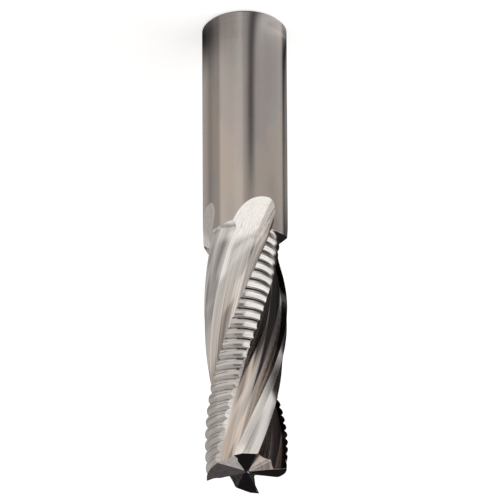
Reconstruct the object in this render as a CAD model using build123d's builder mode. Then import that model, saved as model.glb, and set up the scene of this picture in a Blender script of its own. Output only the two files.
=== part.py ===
from build123d import *
from math import acos, atan2, ceil, cos, degrees, radians, sin, sqrt, tan
import os

os.makedirs("parts", exist_ok=True)

# A spiral router bit ground from one rod of solid carbide, in millimetres.
# It stands on the flat end of its shank with the cutting end up, and the origin is the
# centre of that flat end. The flutes wind to the right and the bit cuts to the right.
# Four teeth share the cutting end: two opposite ones are ribbed, the other two smooth.

# Rod
shank_diameter = 20.0
overall_length = 120.0
shank_chamfer = 0.6

# Cutting end, with lengths measured from the tip
cutting_diameter = 19.5
core_diameter = 11.2
flute_length = 69.8
run_out_length = 12.3
helix_lead = 150.0
tooth_count = 4
first_edge_angle = 17.9

# Flute, seen along the axis: a straight rake face, a round root and a wide back
rake_angle = 8.0
root_radius = 2.8
run_out_turn = 8.0
run_out_widening = 13.0

# Smooth teeth: two ground facets behind the cutting edge
smooth_length = 61.5
smooth_fade_length = 2.6
smooth_land_angle = 33.5
smooth_heel_radius = 8.5
primary_land_angle = 12.0
primary_relief_angle = 9.0

# Ribbed teeth: one curved land behind the edge, then a narrow heel facet
ribbed_length = 60.2
ribbed_fade_length = 3.4
ribbed_land_angle = 40.0
ribbed_land_radius = 8.25
ribbed_relief_angle = 10.0
heel_facet_angle = 45.5
heel_facet_radius = 7.3

# Chip breaker grooves, which leave the ribbed lands in round-shouldered ribs
rib_pitch = 2.6
rib_crest_width = 0.5
groove_depth = 0.5
groove_width = 1.3
groove_root_width = 0.35
shoulder_depth = 0.12
first_groove = 1.15

# End teeth
dish_angle = 4.0
end_relief_angle = 9.5
gash_angle = 21.6
end_rake_angle = 3.0
centre_web = 0.45
gash_start_angle = 30.0

# How far the cutters reach past the metal that they remove
clearance = 2.0
lead_in_length = 2.0
heel_overshoot = 0.5
groove_overrun_angle = 4.0
outer_spread = 15.0
end_cut_height = 8.0
end_cut_behind = 0.7  # as shares of the step between teeth
end_cut_ahead = 0.32
gash_reach = 1.6

# Spacing of the cross sections that a flute or a land is drawn through, and their number
# in the fade at a land's end
section_spacing = 12.0
run_out_spacing = 3.0
fade_sections = 4

shank_radius = shank_diameter / 2
cutting_radius = cutting_diameter / 2
core_radius = core_diameter / 2
outer_radius = shank_radius + clearance
far_radius = outer_radius + clearance
tooth_step = 360 / tooth_count

# A cutting edge's corner at the tip, in a section drawn with the edge on the x axis
edge_corner = Vector(cutting_radius, 0)


def polar(radius, angle):
    """The point at a radius and an angle in degrees, in the plane of a cross section."""
    return Vector(radius * cos(radians(angle)), radius * sin(radians(angle)))


def edge_angle(height, tooth):
    """Where a tooth's cutting edge stands round the bit at a height above the shank end."""
    return first_edge_angle + tooth * tooth_step - (overall_length - height) * 360 / helix_lead


def tooth_plane(height, tooth, lift=0.0, lift_angle=0.0, turn=0.0):
    """A cross-section plane whose x axis points at a tooth's cutting edge.

    Lift moves the section outwards, at lift_angle from the edge, and turn swings it on.
    """
    edge = edge_angle(height, tooth) + turn
    centre = polar(lift, edge + lift_angle)
    ahead = polar(1, edge)
    return Plane(origin=(centre.X, centre.Y, height), x_dir=(ahead.X, ahead.Y, 0), z_dir=(0, 0, 1))


def even_steps(start, end, longest):
    """Heights from start to end, evenly spaced and no further apart than longest."""
    count = ceil(abs(end - start) / longest)
    return [start + (end - start) * step / count for step in range(count + 1)]


def flute_back_end(heel_radius, heel_offset, root_angle):
    """Where a flute's back leaves the rod: an arc tangent to the core and through the heel.

    The heel stands at heel_offset degrees from the point where the back touches the core.
    """
    heel_reach = heel_radius * cos(radians(heel_offset))
    back_radius = (heel_radius**2 + core_radius**2 - 2 * core_radius * heel_reach) / (
        2 * heel_reach - core_diameter
    )
    back_reach = core_radius + back_radius
    spread = acos((outer_radius**2 + back_reach**2 - back_radius**2) / (2 * outer_radius * back_reach))
    return polar(outer_radius, root_angle + degrees(spread))


def flute_cutter(tooth, heel_radius, heel_angle):
    """The metal ground away ahead of a tooth, up to the heel of the tooth in front of it.

    The section follows the helix to the start of the run-out. From there it is lifted
    out along the arc of a grinding wheel and its back opens out, so the flute grows
    shallow and ends rounded.
    """
    outward = polar(1, rake_angle)
    across = polar(1, rake_angle + 90)
    rake_side = edge_corner.dot(across)

    root_reach = core_radius + root_radius
    root_side = root_radius + rake_side
    root_centre = across * root_side + outward * sqrt(root_reach**2 - root_side**2)
    root_start = root_centre - across * root_radius
    root_end = root_centre * (core_radius / root_reach)
    root_angle = degrees(atan2(root_centre.Y, root_centre.X))
    rake_end = outward * sqrt(outer_radius**2 - rake_side**2) + across * rake_side

    run_out_start = overall_length - flute_length + run_out_length
    flute_end = overall_length - flute_length
    full_lift = shank_radius - core_radius
    heights = even_steps(overall_length + clearance, run_out_start, section_spacing)
    heights += even_steps(run_out_start, flute_end - clearance / 2, run_out_spacing)[1:]

    with BuildPart() as cutter:
        for height in heights:
            share = max(run_out_start - height, 0) / run_out_length
            lift = full_lift * share**2
            opened = heel_angle - run_out_widening * share**2
            back_end = flute_back_end(heel_radius, tooth_step - opened - root_angle, root_angle)
            with BuildSketch(tooth_plane(height, tooth, lift, root_angle, run_out_turn * share**2)):
                with BuildLine():
                    Line(rake_end, root_start)
                    TangentArc(root_start, root_end, tangent=outward * -1)
                    TangentArc(root_end, back_end, tangent=polar(1, root_angle + 90))
                    Line(back_end, rake_end)
                make_face()
        loft()
    return cutter.part


# What is ground off behind a smooth edge
facet_direction = polar(-1, 90 - primary_relief_angle)
primary_drop = cutting_radius * sin(radians(primary_land_angle))
primary_width = primary_drop / cos(radians(primary_land_angle - primary_relief_angle))
facet_edge = edge_corner + facet_direction * primary_width
smooth_heel = polar(smooth_heel_radius, -smooth_land_angle)

with BuildSketch() as smooth_outline:
    with BuildLine():
        Polyline(
            edge_corner - facet_direction * lead_in_length,
            facet_edge,
            smooth_heel + (smooth_heel - facet_edge).normalized() * heel_overshoot,
            polar(far_radius, -smooth_land_angle - outer_spread),
            polar(far_radius, -smooth_land_angle / 2),
            polar(far_radius, outer_spread),
            close=True,
        )
    make_face()

# The ribbed land is one arc through the corner and the start of the heel facet, leaving the
# corner at the relief angle. Its centre stands off the axis, and the grooves follow it.
land_end = polar(ribbed_land_radius, -ribbed_land_angle)
land_chord = land_end - edge_corner
land_half_turn = degrees(atan2(-land_chord.X, -land_chord.Y)) - ribbed_relief_angle
land_arc_radius = land_chord.length / (2 * sin(radians(land_half_turn)))
land_centre = edge_corner - polar(land_arc_radius, -ribbed_relief_angle)
lead_in_angle = degrees(lead_in_length / land_arc_radius) - ribbed_relief_angle
lead_in = land_centre + polar(land_arc_radius, lead_in_angle)
ribbed_heel = polar(heel_facet_radius, -heel_facet_angle)

with BuildSketch() as ribbed_outline:
    with BuildLine():
        RadiusArc(lead_in, land_end, land_arc_radius)
        Polyline(
            land_end,
            ribbed_heel + (ribbed_heel - land_end).normalized() * heel_overshoot,
            polar(far_radius, -heel_facet_angle - outer_spread),
            polar(far_radius, -heel_facet_angle / 2),
            polar(far_radius, outer_spread),
            lead_in,
        )
    make_face()


def relief_cutter(tooth, outline, length, fade_length, heel_radius, heel_angle):
    """The metal ground off behind a tooth's edge, with the fade at its end.

    There the section is lifted out along an arc too, until it has left the rod.
    """
    fade_start = overall_length - length
    fade_lift = outer_radius - heel_radius
    with BuildPart() as cutter:
        for height in even_steps(overall_length + clearance, fade_start, section_spacing):
            with BuildSketch(tooth_plane(height, tooth)):
                add(outline.sketch)
        loft()
        for step in range(fade_sections + 1):
            share = step / fade_sections
            height = fade_start - fade_length * share
            with BuildSketch(tooth_plane(height, tooth, fade_lift * share**2, -heel_angle)):
                add(outline.sketch)
        loft()
    return cutter.part


def groove_cutter(tooth, height):
    """One chip breaker groove, turned about the axis of the ribbed land."""
    end_direction = land_end - land_centre
    start_angle = degrees(atan2(end_direction.Y, end_direction.X)) - groove_overrun_angle
    edge = edge_angle(height, tooth)
    centre = land_centre.rotate(Axis.Z, edge)
    across = polar(1, edge + start_angle)
    plane = Plane(
        origin=(centre.X, centre.Y, height),
        x_dir=(across.X, across.Y, 0),
        z_dir=(across.Y, -across.X, 0),
    )
    root = (land_arc_radius - groove_depth, groove_root_width / 2)
    shoulder = (land_arc_radius - shoulder_depth, groove_width / 2)
    crest = (land_arc_radius, (rib_pitch - rib_crest_width) / 2)
    above = (outer_radius, crest[1])
    half = [root, shoulder, crest, above]
    with BuildPart() as cutter:
        with BuildSketch(plane):
            with BuildLine():
                Polyline(*half, *[(out, -up) for out, up in reversed(half)], close=True)
            make_face()
        revolve(axis=Axis(plane.origin, (0, 0, 1)), revolution_arc=lead_in_angle - start_angle)
    return cutter.part


def end_face_cutter(tooth):
    """The metal above one end tooth: a plane that dips to the centre and falls behind the edge."""
    edge = edge_angle(overall_length, tooth)
    along = Vector(1, 0, tan(radians(dish_angle))).rotate(Axis.Z, edge)
    behind = Vector(0, -1, -tan(radians(end_relief_angle))).rotate(Axis.Z, edge)
    normal = behind.cross(along)
    # The sector's two borders lie in flutes, and neighbouring sectors overlap a little
    last = polar(2 * far_radius, -end_cut_behind * tooth_step)
    first = polar(2 * far_radius, end_cut_ahead * tooth_step)
    with BuildPart() as cutter:
        with BuildSketch(Plane(origin=(0, 0, centre_height), x_dir=along, z_dir=normal)):
            with BuildLine():
                Polyline((0, 0), last, first, close=True)
            make_face()
        extrude(amount=end_cut_height, dir=(0, 0, 1))
    return cutter.part


def gash_cutter(tooth, heel_radius, heel_angle):
    """The notch that opens an end tooth: its rake face, and a slope up to the tooth in front."""
    edge = edge_angle(overall_length, tooth)
    apex = polar(centre_web, gash_start_angle) + Vector(0, 0, centre_height)
    corner = Vector(cutting_radius, 0, overall_length)
    fall = cutting_radius * tan(radians(gash_angle))
    below = Vector(0, -tan(radians(end_rake_angle)), -1)
    valley = corner + below * (corner.Z - apex.Z + fall) - apex

    heel = polar(heel_radius, tooth_step - heel_angle)
    heel_drop = heel_radius * (
        cos(radians(heel_angle)) * tan(radians(dish_angle))
        - sin(radians(heel_angle)) * tan(radians(end_relief_angle))
    )
    ridge = heel + Vector(0, 0, centre_height + heel_drop) - apex
    slope = valley.cross(ridge)
    points = [Vector(0, 0, 0), valley * gash_reach, ridge * gash_reach]
    plane = Plane(
        origin=apex.rotate(Axis.Z, edge),
        x_dir=valley.rotate(Axis.Z, edge),
        z_dir=slope.rotate(Axis.Z, edge),
    )
    with BuildPart() as cutter:
        with BuildSketch(plane):
            with BuildLine():
                Polyline(*flat_points(points, valley, slope), close=True)
            make_face()
        extrude(amount=end_cut_height, dir=(below * -1).rotate(Axis.Z, edge))
    return cutter.part


def flat_points(points, x_direction, normal):
    """Points of a plane, in that plane's own two coordinates."""
    x_unit = x_direction.normalized()
    y_unit = normal.cross(x_direction).normalized()
    return [(point.dot(x_unit), point.dot(y_unit)) for point in points]


# The centre of the end stands below the tip, by the dish
centre_height = overall_length - cutting_radius * tan(radians(dish_angle))

ribbed_land = (ribbed_outline, ribbed_length, ribbed_fade_length, ribbed_land_radius, ribbed_land_angle)
smooth_land = (smooth_outline, smooth_length, smooth_fade_length, smooth_heel_radius, smooth_land_angle)
ribbed_heel_place = (heel_facet_radius, heel_facet_angle)
smooth_heel_place = (smooth_heel_radius, smooth_land_angle)

cutters = []
for tooth in range(tooth_count):
    # Ribbed and smooth teeth alternate, and the heel in front closes this tooth's flute
    ribbed = tooth % 2 == 0
    land = ribbed_land if ribbed else smooth_land
    heel_in_front = smooth_heel_place if ribbed else ribbed_heel_place
    cutters.append(flute_cutter(tooth, *heel_in_front))
    cutters.append(relief_cutter(tooth, *land))
    cutters.append(end_face_cutter(tooth))
    cutters.append(gash_cutter(tooth, *heel_in_front))

for tooth in range(0, tooth_count, 2):
    # The second ribbed tooth's grooves stand half a pitch off, to cut what the first leaves
    stagger = rib_pitch / 2 if tooth else 0.0
    groove_count = ceil((ribbed_length - first_groove - stagger) / rib_pitch)
    for groove in range(groove_count):
        depth = first_groove + stagger + groove * rib_pitch
        cutters.append(groove_cutter(tooth, overall_length - depth))

with BuildPart() as router_bit:
    with BuildSketch():
        Circle(shank_radius)
    extrude(amount=overall_length)
    chamfer(router_bit.edges().sort_by(Axis.Z)[0], length=shank_chamfer)
    add(cutters, mode=Mode.SUBTRACT)

router_bit.part.label = "router_bit"
export_step(router_bit.part, "parts/router_bit.step")
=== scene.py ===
import math
import bmesh
import bpy
import numpy as np
from mathutils import Matrix, Vector


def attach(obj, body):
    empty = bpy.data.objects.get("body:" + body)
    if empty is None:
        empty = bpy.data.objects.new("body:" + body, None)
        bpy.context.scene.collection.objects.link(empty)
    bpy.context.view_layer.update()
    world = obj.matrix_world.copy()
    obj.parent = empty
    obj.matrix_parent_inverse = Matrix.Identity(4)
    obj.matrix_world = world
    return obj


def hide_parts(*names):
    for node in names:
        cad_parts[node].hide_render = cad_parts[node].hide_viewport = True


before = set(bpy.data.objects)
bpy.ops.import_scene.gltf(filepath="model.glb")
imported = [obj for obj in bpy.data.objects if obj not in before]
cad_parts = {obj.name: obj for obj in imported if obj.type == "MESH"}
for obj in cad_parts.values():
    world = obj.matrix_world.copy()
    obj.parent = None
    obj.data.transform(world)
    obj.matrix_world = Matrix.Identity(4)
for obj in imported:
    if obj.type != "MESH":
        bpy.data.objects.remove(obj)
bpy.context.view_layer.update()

# The carbide rod and what is ground from it, in millimetres and degrees, tip up
bit = {
    "shankRadius": 10.0,
    "length": 120.0,
    "shankChamfer": 0.6,
    "cuttingRadius": 9.75,
    "coreRadius": 5.6,
    "helixLead": 150.0,
    "teeth": 4,
    "firstEdge": 17.9,  # where the first tooth's corner stands round the tip
    "roundSteps": 240,
    "ringHeight": 1.5,
    "sharpAngle": 28,  # edges that turn more than this stay crisp
}
unit = 0.001  # one millimetre, in the scene's metres


def polar(radius, angle):
    return np.array([radius * math.cos(math.radians(angle)), radius * math.sin(math.radians(angle))])


def angleOf(point):
    return math.degrees(math.atan2(point[1], point[0]))


def arcPoints(centre, start, end, count):
    # Points along the shorter arc from start to end, both included
    radius = np.linalg.norm(start - centre)
    first = angleOf(start - centre)
    turn = (angleOf(end - centre) - first + 180) % 360 - 180
    return [centre + polar(radius, first + turn * i / count) for i in range(count + 1)]


def linePoints(start, end, count):
    return [start + (end - start) * i / count for i in range(count + 1)]


def edgeAngle(height, tooth):
    turn = (bit["length"] - height) * 360 / bit["helixLead"]
    return bit["firstEdge"] + tooth * 360 / bit["teeth"] - turn


def placed(points, height, tooth, lift=0.0, liftAngle=0.0, turn=0.0):
    # A section drawn with the edge on the x axis, set at its height and turned to its tooth
    edge = edgeAngle(height, tooth) + turn
    c, s = math.cos(math.radians(edge)), math.sin(math.radians(edge))
    out = polar(lift, edge + liftAngle)
    return [(p[0] * c - p[1] * s + out[0], p[0] * s + p[1] * c + out[1], height) for p in points]


def evenSteps(start, end, longest):
    count = math.ceil(abs(end - start) / longest)
    return [start + (end - start) * i / count for i in range(count + 1)]


def closedMesh(name, rings, material):
    # A tube through rings of equally many points, closed at both ends, with one finish all over
    size = len(rings[0])
    points = [p for ring in rings for p in ring]
    faces = []
    for row in range(len(rings) - 1):
        a, b = row * size, (row + 1) * size
        faces += [(a + i, a + (i + 1) % size, b + (i + 1) % size, b + i) for i in range(size)]
    faces.append(tuple(reversed(range(size))))
    faces.append(tuple(range((len(rings) - 1) * size, len(rings) * size)))
    mesh = bpy.data.meshes.new(name)
    mesh.from_pydata(points, [], faces)
    mesh.update()
    made = bpy.data.objects.new(name, mesh)
    bpy.context.scene.collection.objects.link(made)
    shape = bmesh.new()
    shape.from_mesh(mesh)
    bmesh.ops.recalc_face_normals(shape, faces=shape.faces)
    for face in shape.faces:
        face.material_index = material
    shape.to_mesh(mesh)
    shape.free()
    return made


# Order of the finishes in the bit's material slots
finishes = ["shankGrind", "flutePolish", "rakePaintedDarkReflection", "smoothGrind", "ribGrind", "endGrind", "gashGrind"]


def makeRod():
    chamfer, radius = bit["shankChamfer"], bit["shankRadius"]
    levels = [(0.0, radius - chamfer), (chamfer, radius)]
    levels += [(h, radius) for h in evenSteps(chamfer, bit["length"], bit["ringHeight"])[1:]]
    angles = [360 * i / bit["roundSteps"] for i in range(bit["roundSteps"])]
    return closedMesh("rod", [[(*polar(r, a), h) for a in angles] for h, r in levels], 0)


# Flute section: a straight rake face, a round root and an arched back that meets the heel in front
flute = {
    "length": 69.8,
    "runOut": 12.3,
    "rakeAngle": 8.0,
    "rootRadius": 2.8,
    "runOutTurn": 8.0,
    "runOutWidening": 13.0,
    "rowHeight": 0.8,
    "reach": 12.5,  # how far out the cutter goes
    "overTip": 2,
    "pastEnd": 1,
    "rakeSteps": 8,
    "rootSteps": 16,
    "backSteps": 26,
}


def makeFlute(tooth, heelRadius, heelAngle):
    outward, across = polar(1, flute["rakeAngle"]), polar(1, flute["rakeAngle"] + 90)
    core, reach, root = bit["coreRadius"], flute["reach"], flute["rootRadius"]
    rootReach = core + root
    rakeSide = bit["cuttingRadius"] * math.sin(math.radians(flute["rakeAngle"]))
    rootSide = root - rakeSide
    rootCentre = across * rootSide + outward * math.sqrt(rootReach**2 - rootSide**2)
    rootStart = rootCentre - across * root
    rootEnd = rootCentre * (core / rootReach)
    rootAngle = angleOf(rootCentre)
    rakeEnd = outward * math.sqrt(reach**2 - rakeSide**2) - across * rakeSide
    front = linePoints(rakeEnd, rootStart, flute["rakeSteps"])
    front += arcPoints(rootCentre, rootStart, rootEnd, flute["rootSteps"])[1:]

    def backPoints(opened):
        # An arc tangent to the core and through the heel, which opens out over the run-out
        heelReach = heelRadius * math.cos(math.radians(360 / bit["teeth"] - opened - rootAngle))
        backRadius = (heelRadius**2 + core**2 - 2 * core * heelReach) / (2 * heelReach - 2 * core)
        backReach = core + backRadius
        spread = math.acos((reach**2 + backReach**2 - backRadius**2) / (2 * reach * backReach))
        backEnd = polar(reach, rootAngle + math.degrees(spread))
        return arcPoints(polar(backReach, rootAngle), rootEnd, backEnd, flute["backSteps"])[1:]

    top, end = bit["length"] + flute["overTip"], bit["length"] - flute["length"]
    runOutStart, bottom = end + flute["runOut"], end - flute["pastEnd"]
    rings = []
    for height in evenSteps(top, bottom, flute["rowHeight"]):
        share = max(runOutStart - height, 0) / flute["runOut"]
        section = front + backPoints(heelAngle - flute["runOutWidening"] * share**2)
        lift = (bit["shankRadius"] - core) * share**2
        rings.append(placed(section, height, tooth, lift, rootAngle, flute["runOutTurn"] * share**2))
    cutter = closedMesh(f"flute{tooth}", rings, finishes.index("flutePolish"))
    # The rake face is its own finish, painted near black as a painted dark reflection
    size = len(section)
    for number, face in enumerate(cutter.data.polygons):
        if number < (len(rings) - 1) * size and number % size < flute["rakeSteps"]:
            face.material_index = finishes.index("rakePaintedDarkReflection")
    return cutter


# Smooth teeth: a narrow primary land and a wider secondary land
smoothLand = {
    "length": 61.5,
    "fade": 2.6,
    "heelRadius": 8.5,
    "heelAngle": 33.5,
    "primaryAngle": 12.0,
    "primaryRelief": 9.0,
    "rowHeight": 0.8,
    "primarySteps": 5,
    "secondarySteps": 6,
    "outerAngles": (-48.5, -16.75, 15),  # where the cutter closes, well outside the rod
}

# Ribbed teeth: one curved land with round-crested ribs, and a narrow heel facet behind it
ribbedLand = {
    "length": 60.2,
    "fade": 3.4,
    "landRadius": 8.25,
    "landAngle": 40.0,
    "relief": 10.0,
    "heelRadius": 7.3,
    "heelAngle": 45.5,
    "ribPitch": 2.6,
    "firstGroove": 1.15,
    "grooveDepth": 0.5,
    "shoulderDepth": 0.12,
    "grooveWidth": 1.3,
    "rowHeight": 0.13,
    "landSteps": 28,
    "outerAngles": (-60.5, -22.75, 15),
}

# What the cutters for both kinds of land share
landCutter = {
    "leadIn": 2.0,  # how far ahead of the edge they start
    "pastHeel": 0.5,
    "farRadius": 14.0,
    "overTip": 2,
    "clearance": 2,  # how far above the shank they end
    "fewestFadeRows": 8,
}


def landRings(tooth, sectionAt, land, heelRadius, heelAngle):
    # Rows down the land, then the fade where the cut lifts out
    fadeStart = bit["length"] - land["length"]
    rings = []
    for height in evenSteps(bit["length"] + landCutter["overTip"], fadeStart, land["rowHeight"]):
        rings.append(placed(sectionAt(height), height, tooth))
    fadeLift = bit["shankRadius"] + landCutter["clearance"] - heelRadius
    fadeRows = max(landCutter["fewestFadeRows"], math.ceil(land["fade"] / land["rowHeight"]))
    for row in range(1, fadeRows + 1):
        share = row / fadeRows
        height = fadeStart - land["fade"] * share
        rings.append(placed(sectionAt(height), height, tooth, fadeLift * share**2, -heelAngle))
    return rings


def makeSmoothLand(tooth):
    land = smoothLand
    corner = polar(bit["cuttingRadius"], 0)
    behind = polar(-1, 90 - land["primaryRelief"])
    width = bit["cuttingRadius"] * math.sin(math.radians(land["primaryAngle"]))
    width /= math.cos(math.radians(land["primaryAngle"] - land["primaryRelief"]))
    facetEdge = corner + behind * width
    heel = polar(land["heelRadius"], -land["heelAngle"])
    past = heel + (heel - facetEdge) / np.linalg.norm(heel - facetEdge) * landCutter["pastHeel"]
    section = linePoints(corner - behind * landCutter["leadIn"], facetEdge, land["primarySteps"])
    section += linePoints(facetEdge, past, land["secondarySteps"])[1:]
    section += [polar(landCutter["farRadius"], a) for a in land["outerAngles"]]
    rings = landRings(tooth, lambda height: section, land, land["heelRadius"], land["heelAngle"])
    return closedMesh(f"smoothLand{tooth}", rings, finishes.index("smoothGrind"))


def grooveDepthAt(height, stagger):
    # Broad round crests with narrow round-bottomed grooves between them
    land = ribbedLand
    depth = bit["length"] - height - land["firstGroove"] - stagger
    pitch, half = land["ribPitch"], land["grooveWidth"] / 2
    if depth < -pitch / 2 or height < bit["length"] - land["length"] - pitch / 2:
        return 0.0
    off = abs((depth + pitch / 2) % pitch - pitch / 2)
    if off < half:
        fall = (1 + math.cos(math.pi * off / half)) / 2
        return land["shoulderDepth"] + (land["grooveDepth"] - land["shoulderDepth"]) * fall
    return land["shoulderDepth"] * (1 - (off - half) / (pitch / 2 - half)) ** 2


def makeRibbedLand(tooth):
    land = ribbedLand
    corner = polar(bit["cuttingRadius"], 0)
    landEnd = polar(land["landRadius"], -land["landAngle"])
    chord = landEnd - corner
    halfTurn = math.degrees(math.atan2(-chord[0], -chord[1])) - land["relief"]
    radius = np.linalg.norm(chord) / (2 * math.sin(math.radians(halfTurn)))
    centre = corner - polar(radius, -land["relief"])
    startAngle = math.degrees(landCutter["leadIn"] / radius) - land["relief"]
    heel = polar(land["heelRadius"], -land["heelAngle"])
    facet = (heel - landEnd) / np.linalg.norm(heel - landEnd)
    past = heel + facet * landCutter["pastHeel"]
    outer = [polar(landCutter["farRadius"], a) for a in land["outerAngles"]]
    stagger = land["ribPitch"] / 2 if tooth else 0.0

    def sectionAt(height):
        inner = radius - grooveDepthAt(height, stagger)
        # The groove runs on over the heel facet until the facet falls below it
        toEnd = landEnd - centre
        along = float(np.dot(toEnd, facet))
        step = -along - math.sqrt(max(along**2 - radius**2 + inner**2, 0.0))
        meet = landEnd + facet * max(step, 0.0)
        return arcPoints(centre, centre + polar(inner, startAngle), meet, land["landSteps"]) + [past] + outer

    rings = landRings(tooth, sectionAt, land, land["landRadius"], land["landAngle"])
    return closedMesh(f"ribbedLand{tooth}", rings, finishes.index("ribGrind"))


# End teeth: four faces that dip to the centre, each opened by a gash
endTeeth = {
    "dish": 4.0,
    "relief": 9.5,
    "gashAngle": 21.6,
    "rake": 3.0,
    "web": 0.45,  # how far from the axis each gash starts
    "webAngle": 30.0,
    "cutHeight": 8.0,
    "faceReach": 28.0,
    "faceAngles": (-63.0, 28.8),  # how far round the edge each end face is cut
    "gashReach": 1.6,
    "valleyRadius": 0.5,
    "valleySteps": 6,
}


def slope(angle):
    return math.tan(math.radians(angle))


def turned(points, angle):
    spin = Matrix.Rotation(math.radians(angle), 3, "Z")
    return [tuple(spin @ Vector(p)) for p in points]


def centreHeight():
    return bit["length"] - bit["cuttingRadius"] * slope(endTeeth["dish"])


def makeEndFace(tooth):
    # A wedge out from the axis, with the end face as its lower side
    corners = [Vector((0, 0, centreHeight()))]
    for around in endTeeth["faceAngles"]:
        x, y = polar(endTeeth["faceReach"], around)
        rise = x * slope(endTeeth["dish"]) + y * slope(endTeeth["relief"])
        corners.append(Vector((x, y, centreHeight() + rise)))
    angle = edgeAngle(bit["length"], tooth)
    top = [corner + Vector((0, 0, endTeeth["cutHeight"])) for corner in corners]
    rings = [turned(corners, angle), turned(top, angle)]
    return closedMesh(f"endFace{tooth}", rings, finishes.index("endGrind"))


def makeGash(tooth, heelRadius, heelAngle):
    apex = Vector((*polar(endTeeth["web"], endTeeth["webAngle"]), centreHeight()))
    edgeCorner = Vector((bit["cuttingRadius"], 0, bit["length"]))
    fall = bit["cuttingRadius"] * slope(endTeeth["gashAngle"])
    below = Vector((0, -slope(endTeeth["rake"]), -1))
    valley = edgeCorner + below * (edgeCorner.z - apex.z + fall) - apex
    drop = heelRadius * (
        math.cos(math.radians(heelAngle)) * slope(endTeeth["dish"])
        - math.sin(math.radians(heelAngle)) * slope(endTeeth["relief"])
    )
    ridgeAngle = 360 / bit["teeth"] - heelAngle
    ridge = Vector((*polar(heelRadius, ridgeAngle), centreHeight() + drop)) - apex
    inward = (ridge - ridge.project(valley)).normalized()
    upward = -below.normalized()
    angle = edgeAngle(bit["length"], tooth)
    rings = []
    # The valley between the gash's two faces is rounded
    for i in range(endTeeth["valleySteps"] + 1):
        turn = math.radians(90 * i / endTeeth["valleySteps"])
        inset = endTeeth["valleyRadius"] * (1 - math.sin(turn))
        lift = upward * endTeeth["valleyRadius"] * (1 - math.cos(turn))
        corners = [
            apex + ridge * inset / ridge.dot(inward),
            apex + valley * endTeeth["gashReach"] + inward * inset,
            apex + ridge * endTeeth["gashReach"],
        ]
        rings.append(turned([corner + lift for corner in corners], angle))
    rings.append(turned([corner + upward * endTeeth["cutHeight"] for corner in corners], angle))
    return closedMesh(f"gash{tooth}", rings, finishes.index("gashGrind"))


def cutAll(rod, cutters):
    group = bpy.data.collections.new("cutters")
    for cutter in cutters:
        group.objects.link(cutter)
    cut = rod.modifiers.new("grind", "BOOLEAN")
    cut.operation = "DIFFERENCE"
    cut.solver = "EXACT"
    cut.operand_type = "COLLECTION"
    cut.collection = group
    cut.material_mode = "INDEX"
    bpy.context.view_layer.update()
    ready = rod.evaluated_get(bpy.context.evaluated_depsgraph_get())
    mesh = bpy.data.meshes.new_from_object(ready)
    for cutter in cutters:
        bpy.data.objects.remove(cutter)
    bpy.data.collections.remove(group)
    bpy.data.objects.remove(rod)
    return mesh


print("cutters")
smoothHeel = (smoothLand["heelRadius"], smoothLand["heelAngle"])
ribbedHeel = (ribbedLand["heelRadius"], ribbedLand["heelAngle"])
cutters = []
for tooth in range(bit["teeth"]):
    ribbed = tooth % 2 == 0
    heelInFront = smoothHeel if ribbed else ribbedHeel
    cutters.append(makeFlute(tooth, *heelInFront))
    cutters.append(makeRibbedLand(tooth) if ribbed else makeSmoothLand(tooth))
    cutters.append(makeEndFace(tooth))
    cutters.append(makeGash(tooth, *heelInFront))

print("rod")
rod = makeRod()
for piece in cutters + [rod]:
    for finish in finishes:
        piece.data.materials.append(None)

print("grinding the teeth")
ground = cutAll(rod, cutters)
ground.transform(Matrix.Scale(unit, 4))
carbide = bpy.data.objects.new("carbideBit", ground)
bpy.context.scene.collection.objects.link(carbide)
print("faces", len(ground.polygons))


def addNode(tree, kind, settings, inputs):
    # A node with its settings made and each input set, or linked where the value is another node's output
    made = tree.nodes.new("ShaderNode" + kind)
    for name, value in settings.items():
        setattr(made, name, value)
    for name, value in inputs.items():
        if isinstance(value, bpy.types.NodeSocket):
            tree.links.new(value, made.inputs[name])
        else:
            made.inputs[name].default_value = value
    return made


def calc(tree, operation, *values):
    return addNode(tree, "Math", {"operation": operation}, dict(enumerate(values))).outputs[0]


def vectorCalc(tree, operation, *values):
    return addNode(tree, "VectorMath", {"operation": operation}, dict(enumerate(values))).outputs["Vector"]


def remap(tree, value, start, end, low=0.0, high=1.0):
    # Runs smoothly from low at start to high at end
    inputs = {"Value": value, "From Min": start, "From Max": end, "To Min": low, "To Max": high}
    return addNode(tree, "MapRange", {"interpolation_type": "SMOOTHSTEP"}, inputs).outputs["Result"]


def blendColour(tree, share, first, second):
    return addNode(tree, "Mix", {"data_type": "RGBA"}, {0: share, 6: first, 7: second}).outputs[2]


def grain(tree, place, across, along, detail, offset):
    # Noise drawn out along the bit, its cells given per millimetre
    sized = vectorCalc(tree, "MULTIPLY", place, (across, across, along))
    moved = vectorCalc(tree, "ADD", sized, (offset, offset * 2, 0))
    inputs = {"Vector": moved, "Scale": 1.0, "Detail": detail, "Roughness": grindMarks["noiseRoughness"]}
    return addNode(tree, "TexNoise", {}, inputs).outputs["Fac"]
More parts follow.
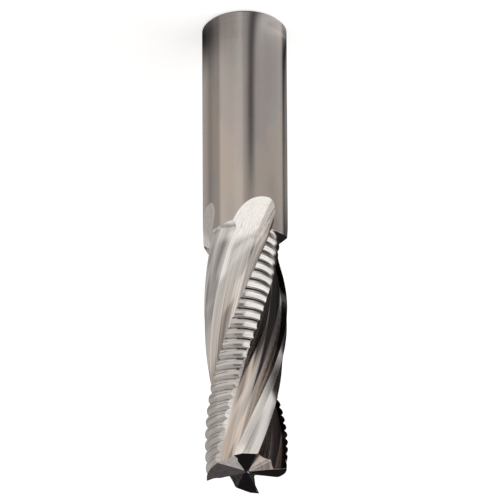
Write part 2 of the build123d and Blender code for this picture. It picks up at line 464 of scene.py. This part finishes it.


# What each ground surface looks like: its darkest and lightest carbide (on the rake face, a painted dark
# reflection), its warm and cool smudges and how much they show, how many smudges, streaks and lines there
# are to the millimetre across and along the bit, how rough it is, and how deep its marks are in millimetres
finishLooks = {
    "shankGrind": {
        "dark": (0.44, 0.41, 0.40),
        "light": (0.53, 0.49, 0.47),
        "smudge": (0.62, 0.53, 0.44),
        "smudgeShare": 0.5,
        "coolSmudge": (0.50, 0.52, 0.50),
        "coolShare": 0.4,
        "warmHeights": (8, 40),
        "smudgeSize": (0.12, 0.05),
        "streaks": (0.30, 0.008),
        "lines": (0.05, 9.0),
        "roughness": (0.15, 0.20),
        "depth": 0.002,
        "spread": 0.7,
    },
    "flutePolish": {
        "dark": (0.43, 0.40, 0.385),
        "light": (0.90, 0.86, 0.825),
        "smudge": (0.70, 0.57, 0.48),
        "smudgeShare": 0.75,
        "coolSmudge": (0.70, 0.72, 0.69),
        "coolShare": 0.6,
        "smudgeSize": (0.85, 0.03),
        "streaks": (3.0, 0.02),
        "lines": (1.5, 0.015),
        "roughness": (0.09, 0.19),
        "depth": 0.0014,
        "plainHeights": (50, 70),
        "twisted": True,
    },
    # Painted dark reflection: the rake face's carbide is painted near black, where the polished face mirrors
    # dark surroundings
    "rakePaintedDarkReflection": {
        "dark": (0.04, 0.037, 0.04),
        "light": (0.13, 0.12, 0.115),
        "smudge": (0.11, 0.09, 0.085),
        "smudgeShare": 0.6,
        "coolSmudge": (0.08, 0.073, 0.085),
        "coolShare": 0.5,
        "smudgeSize": (0.30, 0.06),
        "streaks": (2.4, 0.03),
        "lines": (6.0, 0.06),
        "roughness": (0.08, 0.15),
        "depth": 0.002,
        "twisted": True,
    },
    "smoothGrind": {
        "dark": (0.66, 0.64, 0.62),
        "light": (0.94, 0.92, 0.89),
        "smudge": (0.80, 0.76, 0.73),
        "smudgeShare": 0.4,
        "coolSmudge": (0.78, 0.80, 0.77),
        "coolShare": 0.5,
        "smudgeSize": (0.25, 0.08),
        "streaks": (0.90, 0.05),
        "lines": (4.0, 0.10),
        "roughness": (0.12, 0.2),
        "depth": 0.002,
        "twisted": True,
    },
    "ribGrind": {
        "dark": (0.60, 0.58, 0.56),
        "light": (0.80, 0.78, 0.76),
        "smudge": (0.70, 0.66, 0.62),
        "smudgeShare": 0.4,
        "coolSmudge": (0.68, 0.69, 0.67),
        "coolShare": 0.4,
        "smudgeSize": (0.25, 0.10),
        "streaks": (0.25, 2.2),
        "lines": (0.10, 7.0),
        "roughness": (0.07, 0.13),
        "depth": 0.003,
    },
    "endGrind": {
        "dark": (0.34, 0.31, 0.33),
        "light": (0.46, 0.42, 0.43),
        "smudge": (0.44, 0.36, 0.40),
        "smudgeShare": 0.25,
        "coolSmudge": (0.40, 0.36, 0.42),
        "coolShare": 0.4,
        "smudgeSize": (0.35, 0.35),
        "streaks": (0.90, 0.90),
        "lines": (4.5, 4.5),
        "roughness": (0.07, 0.11),
        "depth": 0.0006,
    },
    "gashGrind": {
        "dark": (0.76, 0.71, 0.68),
        "light": (0.93, 0.88, 0.84),
        "smudge": (0.86, 0.75, 0.67),
        "smudgeShare": 0.3,
        "coolSmudge": (0.82, 0.78, 0.80),
        "coolShare": 0.5,
        "smudgeSize": (0.35, 0.35),
        "streaks": (1.20, 0.30),
        "lines": (5.0, 0.60),
        "roughness": (0.12, 0.2),
        "depth": 0.0003,
        "twisted": True,
    },
}

# What a finish has where its own look doesn't say otherwise
usualLook = {
    "warmHeights": (66, 112),  # the smudges grow warmer between these heights
    "plainHeights": None,  # the heights between which the marks fade out, if they do
    "twisted": False,
    "spread": 0.0,  # how much the grinding lines spread the light
    "spreadTurn": 0.25,  # which way they do, in turns
}

# How noise becomes marks. Each range is the noise at which that mark starts and at which it is full
grindMarks = {
    "finishOffset": 7.3,  # gives each finish noise of its own
    "kindOffset": 2,  # and so each kind of mark
    "noiseRoughness": 0.6,
    "streakDetail": 3,
    "lineDetail": 2,
    "smudgeDetail": 2,
    "streakShare": 0.75,
    "lineShare": 0.25,
    "toneRange": (0.36, 0.64),
    "roughRange": (0.34, 0.66),
    "warmRange": (0.56, 0.74),
    "coolRange": (0.45, 0.66),
    "warmth": 0.24,
    "plainTone": 0.55,  # what the marks fade to
    "plainShare": 0.15,  # how much of them is left there
}

edgeWear = {
    "width": 0.11,  # how far from an edge the wear reaches, in millimetres
    "samples": 4,
    "bendRange": (0.99, 0.86),  # cosines of the bend where the wear starts and is full
    "colour": (0.84, 0.82, 0.80),
    "strength": 0.6,
    "roughness": 0.3,
}

# Painted dark lines on the ribs, at the groove bottoms and crest middles: painted shade and painted dark
# reflection
ribShadeLine = {
    "start": bit["length"] - ribbedLand["firstGroove"],
    "width": 0.16,
    "colour": (0.34, 0.32, 0.31),
    "strength": 0.55,
}


def makeFinish(name, look):
    material = bpy.data.materials.new(name)
    material.use_nodes = True
    tree = material.node_tree
    shader = tree.nodes["Principled BSDF"]
    place = addNode(tree, "TexCoord", {}, {}).outputs["Object"]
    inputs = {0: place, "Scale": 1 / unit}
    place = addNode(tree, "VectorMath", {"operation": "SCALE"}, inputs).outputs["Vector"]
    height = addNode(tree, "SeparateXYZ", {}, {0: place}).outputs["Z"]
    if look["twisted"]:
        # Turned back along the helix, so that the streaks run with the flutes
        depth = calc(tree, "SUBTRACT", bit["length"], height)
        turn = calc(tree, "MULTIPLY", depth, 2 * math.pi / bit["helixLead"])
        inputs = {"Vector": place, "Angle": turn}
        place = addNode(tree, "VectorRotate", {"rotation_type": "Z_AXIS"}, inputs).outputs[0]
    marks = grindMarks
    offset, kind = finishes.index(name) * marks["finishOffset"], marks["kindOffset"]
    streaks = grain(tree, place, *look["streaks"], marks["streakDetail"], offset)
    lines = grain(tree, place, *look["lines"], marks["lineDetail"], offset + kind)
    warmSmudges = grain(tree, place, *look["smudgeSize"], marks["smudgeDetail"], offset + 2 * kind)
    coolSmudges = grain(tree, place, *look["smudgeSize"], marks["smudgeDetail"], offset + 3 * kind)

    # Wear along the edges, where the rounded normal leaves the face's own
    inputs = {"Radius": edgeWear["width"] * unit}
    rounded = addNode(tree, "Bevel", {"samples": edgeWear["samples"]}, inputs).outputs[0]
    flat = addNode(tree, "NewGeometry", {}, {}).outputs["Normal"]
    bend = addNode(tree, "VectorMath", {"operation": "DOT_PRODUCT"}, {0: rounded, 1: flat}).outputs["Value"]
    worn = remap(tree, bend, *edgeWear["bendRange"], 0.0, edgeWear["strength"])

    streaks = calc(tree, "MULTIPLY", streaks, marks["streakShare"])
    both = calc(tree, "ADD", streaks, calc(tree, "MULTIPLY", lines, marks["lineShare"]))
    if look["plainHeights"]:
        # The run-outs are ground finer than the rest
        marked = remap(tree, height, *look["plainHeights"], marks["plainShare"])
        fromPlain = calc(tree, "SUBTRACT", both, marks["plainTone"])
        both = calc(tree, "ADD", calc(tree, "MULTIPLY", fromPlain, marked), marks["plainTone"])
    tone = remap(tree, both, *marks["toneRange"])
    colour = blendColour(tree, tone, (*look["dark"], 1), (*look["light"], 1))
    warmer = remap(tree, height, *look["warmHeights"], 0.0, marks["warmth"])
    warmed = calc(tree, "ADD", warmSmudges, warmer)
    warmed = remap(tree, warmed, *marks["warmRange"], 0.0, look["smudgeShare"])
    colour = blendColour(tree, warmed, colour, (*look["smudge"], 1))
    cooled = remap(tree, coolSmudges, *marks["coolRange"], 0.0, look["coolShare"])
    colour = blendColour(tree, cooled, colour, (*look["coolSmudge"], 1))
    if name == "ribGrind":
        # Painted dark lines half a pitch apart, on the groove bottoms and crest middles: painted shade in
        # the grooves and a painted dark reflection along the crests
        spacing = ribbedLand["ribPitch"] / 2
        fromStart = calc(tree, "SUBTRACT", height, ribShadeLine["start"])
        fromLine = calc(tree, "PINGPONG", fromStart, spacing / 2)
        shadeLineShare = remap(tree, fromLine, ribShadeLine["width"], 0.0, 0.0, ribShadeLine["strength"])
        colour = blendColour(tree, shadeLineShare, colour, (*ribShadeLine["colour"], 1))
    colour = blendColour(tree, worn, colour, (*edgeWear["colour"], 1))
    roughness = remap(tree, both, *marks["roughRange"], *look["roughness"])
    roughness = calc(tree, "MAXIMUM", roughness, calc(tree, "MULTIPLY", worn, edgeWear["roughness"]))
    inputs = {"Height": both, "Distance": look["depth"] * unit, "Strength": 1.0, "Normal": rounded}
    bump = addNode(tree, "Bump", {}, inputs).outputs[0]
    tree.links.new(colour, shader.inputs["Base Color"])
    tree.links.new(roughness, shader.inputs["Roughness"])
    tree.links.new(bump, shader.inputs["Normal"])
    shader.inputs["Metallic"].default_value = 1
    if look["spread"]:
        # The grinding lines go round the shank, so they spread the light along it
        shader.inputs["Anisotropic"].default_value = look["spread"]
        shader.inputs["Anisotropic Rotation"].default_value = look["spreadTurn"]
        tangent = addNode(tree, "Tangent", {"direction_type": "RADIAL", "axis": "Z"}, {}).outputs[0]
        tree.links.new(tangent, shader.inputs["Tangent"])
    return material


print("finishes")
for number, name in enumerate(finishes):
    ground.materials[number] = makeFinish(name, {**usualLook, **finishLooks[name]})
ground.shade_smooth()
ground.set_sharp_from_angle(angle=math.radians(bit["sharpAngle"]))
for face in ground.polygons:
    if face.material_index == finishes.index("gashGrind"):
        face.use_smooth = False

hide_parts("router_bit")
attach(carbide, "root")

# The camera stands far off with a long lens and is rolled, so the tip points down the picture
camera = {
    "elevation": 29.5,
    "tilt": 0.296,
    "pixelsPerMillimetre": 4.25,
    "lens": 1500,
    "sensor": 36,
    "picture": 499,  # its width in pixels
    "shiftRight": 4.05,  # how far from the bit's middle it is aimed, in pixels
    "shiftUp": 1.7,
    "clipEnd": 100,  # in metres
}


def makeCamera():
    e, t = math.radians(camera["elevation"]), math.radians(camera["tilt"])
    perMetre = camera["pixelsPerMillimetre"] / unit
    forward = Vector((0, math.cos(e), -math.sin(e)))
    level, up = Vector((-1, 0, 0)), Vector((0, -math.sin(e), -math.cos(e)))
    right = level * math.cos(t) - up * math.sin(t)
    up = up * math.cos(t) + level * math.sin(t)
    target = Vector((0, 0, bit["length"] / 2 * unit))
    target += (right * camera["shiftRight"] + up * camera["shiftUp"]) / perMetre
    place = target - forward * camera["picture"] / perMetre * camera["lens"] / camera["sensor"]
    data = bpy.data.cameras.new("camera")
    data.lens, data.sensor_width, data.clip_end = camera["lens"], camera["sensor"], camera["clipEnd"]
    eye = bpy.data.objects.new("camera", data)
    rows = [(*row, p) for row, p in zip(zip(right, up, -forward), place)]
    eye.matrix_world = Matrix(rows + [(0, 0, 0, 1)])
    bpy.context.scene.collection.objects.link(eye)
    bpy.context.scene.camera = eye


makeCamera()

# A pale floor in a soft studio. The floor's own light is for the camera alone, and takes it to white
studio = {
    "floorSize": 4.0,  # in metres
    "floorColour": (0.9, 0.9, 0.9),
    "floorRoughness": 0.8,
    "floorLight": 0.58,
    "room": (0.50, 0.475, 0.46),  # the light where no panel or card stands
}

# Soft panels and dark cards: the degrees round and up where each stands, its width and height in degrees,
# how soft its edge is, and its light
panels = {
    "ceiling": (0, 90, 360, 44, 24, (0.8, 0.8, 0.8)),
    "leftWall": (291, -4, 100, 52, 16, (0.72, 0.685, 0.66)),
    "leftStep": (309, -27, 66, 12, 8, (1.0, 0.94, 0.88)),
    "rightWindow": (198, 24, 96, 56, 10, (1.16, 1.14, 1.12)),
    "rightSill": (194, -18, 98, 22, 10, (0.90, 0.875, 0.86)),
    "rightStep": (203, -30, 94, 12, 8, (0.70, 0.67, 0.655)),
    "sillGap": (196, -11, 52, 8, 6, (0.42, 0.39, 0.375)),
    "leftShade": (332, -17, 66, 12, 8, (0.30, 0.28, 0.275)),
    "tipCard": (78, 24, 44, 36, 10, (0.02, 0.018, 0.02)),
    "ceilingCard": (121, 66, 56, 24, 10, (0.38, 0.36, 0.37)),
    "backCard": (111, 3, 68, 96, 12, (0.02, 0.018, 0.02)),
    "sideGap": (20, -30, 22, 34, 18, (0.36, 0.34, 0.33)),
    "highCard": (266, 44, 34, 28, 14, (0.22, 0.20, 0.20)),
    "lowStep": (288, -58, 76, 14, 8, (0.17, 0.15, 0.15)),
    "lowCard": (205, -50, 130, 32, 8, (0.03, 0.026, 0.028)),
    "floorCard": (0, -90, 360, 60, 8, (0.01, 0.01, 0.01)),
}


def offAround(tree, around, centre):
    # How many degrees round a place is from a centre, either way
    wrapped = calc(tree, "FLOORED_MODULO", calc(tree, "ADD", around, 540 - centre), 360)
    return calc(tree, "ABSOLUTE", calc(tree, "SUBTRACT", wrapped, 180))


def makeFloor():
    half = studio["floorSize"] / 2
    mesh = bpy.data.meshes.new("floor")
    corners = [(-half, -half, 0), (half, -half, 0), (half, half, 0), (-half, half, 0)]
    mesh.from_pydata(corners, [], [(0, 1, 2, 3)])
    floor = bpy.data.objects.new("floor", mesh)
    bpy.context.scene.collection.objects.link(floor)
    material = bpy.data.materials.new("floorPaper")
    material.use_nodes = True
    tree = material.node_tree
    shader = tree.nodes["Principled BSDF"]
    shader.inputs["Base Color"].default_value = (*studio["floorColour"], 1)
    shader.inputs["Roughness"].default_value = studio["floorRoughness"]
    shader.inputs["Specular IOR Level"].default_value = 0
    shader.inputs["Emission Color"].default_value = (1, 1, 1, 1)
    seen = addNode(tree, "LightPath", {}, {}).outputs["Is Camera Ray"]
    tree.links.new(calc(tree, "MULTIPLY", seen, studio["floorLight"]), shader.inputs["Emission Strength"])
    mesh.materials.append(material)
    # Polished metal shows the studio below it instead of the paper
    floor.visible_glossy = False
    floor.visible_shadow = False


# Patches on the floor round the bit, seen in the metal alone: the degrees round where each lies, its half
# width, how many millimetres out it starts and ends, how soft both of those edges are, and its light
footPatches = {
    "shade": (12, 100, 0, 24, 22, (0.02, 0.018, 0.02)),
    "glow": (206, 60, 0, 18, 12, (1.0, 0.97, 0.95)),
    "gap": (255, 15, 0, 96, 24, (0.13, 0.115, 0.125)),
    "leftFoot": (298, 40, 0, 32, 62, (0.30, 0.28, 0.28)),
    "edge": (128, 34, 0, 100, 30, (0.34, 0.325, 0.32)),
    "edgeShade": (126, 34, 0, 26, 40, (0.10, 0.09, 0.09)),
    "band": (180, 48, 118, 250, 24, (0.06, 0.055, 0.055)),
}
patchCut = {
    "sides": 16,
    "height": 0.1,  # just clear of the floor, in millimetres
}


def makeFootPatch(name, around, width, start, end, soft, colour):
    sides, height = patchCut["sides"], patchCut["height"] * unit
    angles = [around - width + 2 * width * i / sides for i in range(sides + 1)]
    rim = [(*(polar(end + soft, angle) * unit), height) for angle in angles]
    mesh = bpy.data.meshes.new(name)
    mesh.from_pydata([(0, 0, height)] + rim, [], [(0, i, i + 1) for i in range(1, sides + 1)])
    patch = bpy.data.objects.new(name, mesh)
    bpy.context.scene.collection.objects.link(patch)
    material = bpy.data.materials.new(name)
    material.use_nodes = True
    tree = material.node_tree
    tree.nodes.remove(tree.nodes["Principled BSDF"])
    position = addNode(tree, "NewGeometry", {}, {}).outputs["Position"]
    split = addNode(tree, "SeparateXYZ", {}, {0: position}).outputs
    aside = offAround(tree, calc(tree, "DEGREES", calc(tree, "ARCTAN2", split["Y"], split["X"])), around)
    flat = addNode(tree, "CombineXYZ", {}, {0: split["X"], 1: split["Y"]}).outputs[0]
    far = addNode(tree, "VectorMath", {"operation": "LENGTH"}, {0: flat}).outputs["Value"]
    inWidth = remap(tree, aside, width, 0.0)
    inReach = remap(tree, far, (end + soft / 2) * unit, (end - soft / 2) * unit)
    if start:
        outside = remap(tree, far, (start - soft / 2) * unit, (start + soft / 2) * unit)
        inReach = calc(tree, "MULTIPLY", inReach, outside)
    clear = addNode(tree, "BsdfTransparent", {}, {}).outputs[0]
    light = addNode(tree, "Emission", {}, {"Color": (*colour, 1)}).outputs[0]
    share = calc(tree, "MULTIPLY", inWidth, inReach)
    mixed = addNode(tree, "MixShader", {}, {0: share, 1: clear, 2: light}).outputs[0]
    tree.links.new(mixed, tree.nodes["Material Output"].inputs["Surface"])
    material.cycles.emission_sampling = "NONE"
    mesh.materials.append(material)
    for other in ("camera", "diffuse", "transmission", "volume_scatter", "shadow"):
        setattr(patch, f"visible_{other}", False)


def makeStudio():
    world = bpy.data.worlds.new("studio")
    bpy.context.scene.world = world
    world.use_nodes = True
    tree = world.node_tree
    direction = addNode(tree, "TexCoord", {}, {}).outputs["Generated"]
    split = addNode(tree, "SeparateXYZ", {}, {0: direction}).outputs
    around = calc(tree, "DEGREES", calc(tree, "ARCTAN2", split["Y"], split["X"]))
    up = calc(tree, "DEGREES", calc(tree, "ARCSINE", split["Z"]))
    light = (*studio["room"], 1)
    for panelAround, panelUp, width, height, soft, colour in panels.values():
        aside = offAround(tree, around, panelAround)
        above = calc(tree, "ABSOLUTE", calc(tree, "SUBTRACT", up, panelUp))
        inWidth = remap(tree, aside, (width + soft) / 2, (width - soft) / 2)
        inHeight = remap(tree, above, (height + soft) / 2, (height - soft) / 2)
        light = blendColour(tree, calc(tree, "MULTIPLY", inWidth, inHeight), light, (*colour, 1))
    tree.links.new(light, tree.nodes["Background"].inputs["Color"])


print("studio")
makeFloor()
makeStudio()
for name, patch in footPatches.items():
    makeFootPatch(name, *patch)
bpy.context.scene.view_settings.view_transform = "Standard"
